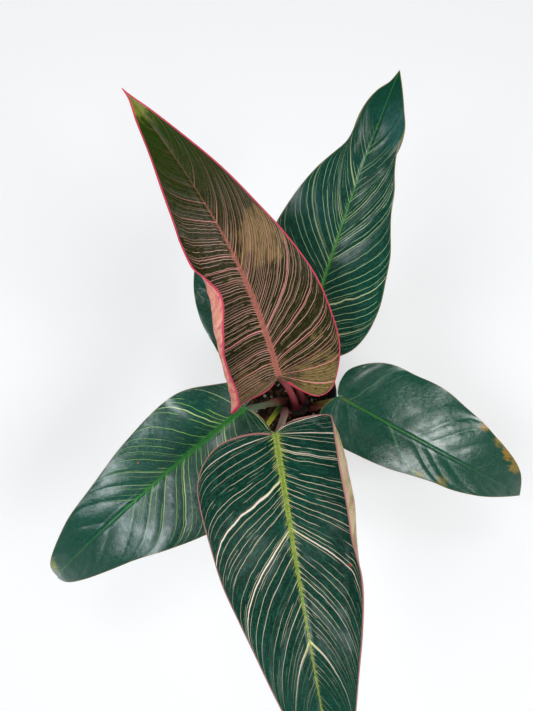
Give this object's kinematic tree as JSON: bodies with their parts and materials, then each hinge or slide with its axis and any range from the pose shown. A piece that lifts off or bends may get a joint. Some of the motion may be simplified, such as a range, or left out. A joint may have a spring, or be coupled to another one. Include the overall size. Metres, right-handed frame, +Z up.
{
  "type": "potted pink striped philodendron",
  "caption": "Young heart-leaved houseplant with cream and pink pinstriped leaves, upright petioles and a short crown, in a thin black plastic nursery pot with drained floor.",
  "frame": {"origin": "centre of the pot's base, on the surface it stands on", "axes": "+Z up; the plant's front leaf points to -Y and +X is to the right seen from the front"},
  "size_m": [0.375, 0.4414, 0.3248],
  "materials": {
    "pot_plastic": "satin",
    "potting_mix": "matte",
    "stem_olive": "satin",
    "leaf_pink": "satin",
    "leaf_dark": "satin",
    "leaf_green": "satin",
    "petiole_crimson": "satin",
    "petiole_olive": "satin",
    "sheath_brown": "matte",
    "stub_yellow": "satin"
  },
  "bodies": {
    "root": {"nursery_pot": "pot_plastic", "potting_soil": "potting_mix", "crown_stem": "stem_olive", "blade_pink": "leaf_pink", "petiole_pink": "petiole_crimson", "blade_back": "leaf_dark", "petiole_back": "petiole_olive", "blade_left": "leaf_green", "petiole_left": "petiole_olive", "sheath_left": "sheath_brown", "blade_front": "leaf_dark", "petiole_front": "petiole_olive", "sheath_front": "petiole_crimson", "blade_right": "leaf_green", "petiole_right": "petiole_olive", "sheath_right": "sheath_brown", "blade_rear": "leaf_green", "petiole_rear": "petiole_olive", "new_leaf_spike": "petiole_crimson", "cut_stub": "stub_yellow"}
  },
  "joints": []
}
